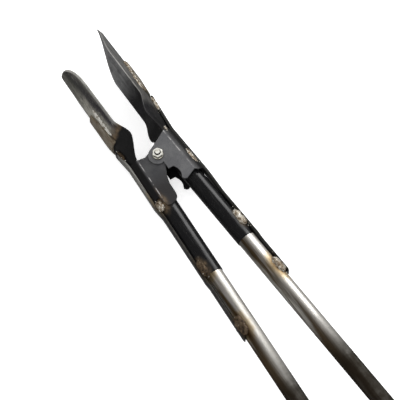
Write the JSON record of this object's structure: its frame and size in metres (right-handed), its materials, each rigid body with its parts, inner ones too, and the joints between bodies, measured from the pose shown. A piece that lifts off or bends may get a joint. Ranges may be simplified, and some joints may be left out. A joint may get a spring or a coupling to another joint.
{
  "type": "clamshell digging tongs",
  "caption": "Two-handled garden digging tongs: a pointed and a rounded steel scoop on long tube handles that open and close on a pivot bolt.",
  "frame": {"origin": "centre of the footprint, at the height of the lower scoop rims, with the tool lying flat", "axes": "+Z along the pivot bolt towards its nut, +X towards the scoop tips, +Y towards the half with the rounded scoop"},
  "size_m": [1.0138, 0.1556, 0.092],
  "materials": {
    "pointed_scoop_steel": "satin grey, fading to black at the neck, ground rim",
    "rounded_scoop_steel": "bare ground steel, black paint at the neck",
    "plate_steel": "bare steel with heat tint",
    "weld_metal": "rippled bead with straw and brown heat tint",
    "bracket_paint": "satin grey",
    "scorched_bracket_paint": "satin dark grey, scorched brown by the welds",
    "sleeve_black": "gloss black",
    "tube_steel": "polished bare tube with brown streaks",
    "strap_steel": "dark mill scale with rubbed edges",
    "zinc_plate": "bright zinc plate",
    "bush_steel": "turned steel",
    "grip_rubber": "matt black",
    "plug_plastic": "moulded black"
  },
  "bodies": {
    "right_half": {"right_scoop": "pointed_scoop_steel", "right_scoop_plate": "plate_steel", "right_plate_welds": "weld_metal", "right_bracket": "bracket_paint", "right_sleeve": "sleeve_black", "right_tube": "tube_steel", "right_strap": "strap_steel", "right_neck_welds": "weld_metal", "right_handle_welds": "weld_metal", "right_grip": "grip_rubber", "right_end_plug": "plug_plastic", "pivot_bolt": "zinc_plate", "pivot_nut": "zinc_plate", "front_washer": "zinc_plate", "rear_washer": "zinc_plate"},
    "left_half": {"left_scoop": "rounded_scoop_steel", "left_scoop_plate": "plate_steel", "left_plate_welds": "weld_metal", "left_bracket": "scorched_bracket_paint", "left_sleeve": "sleeve_black", "left_tube": "tube_steel", "left_strap": "strap_steel", "left_neck_welds": "weld_metal", "left_handle_welds": "weld_metal", "left_grip": "grip_rubber", "left_end_plug": "plug_plastic", "pivot_bush": "bush_steel"}
  },
  "joints": [
    {"name": "pivot", "type": "hinge", "parent": "right_half", "child": "left_half", "pos_m": [0.27691, 0, 0.046], "axis": [0, 0, 1], "range_deg": [-19, 6]}
  ]
}
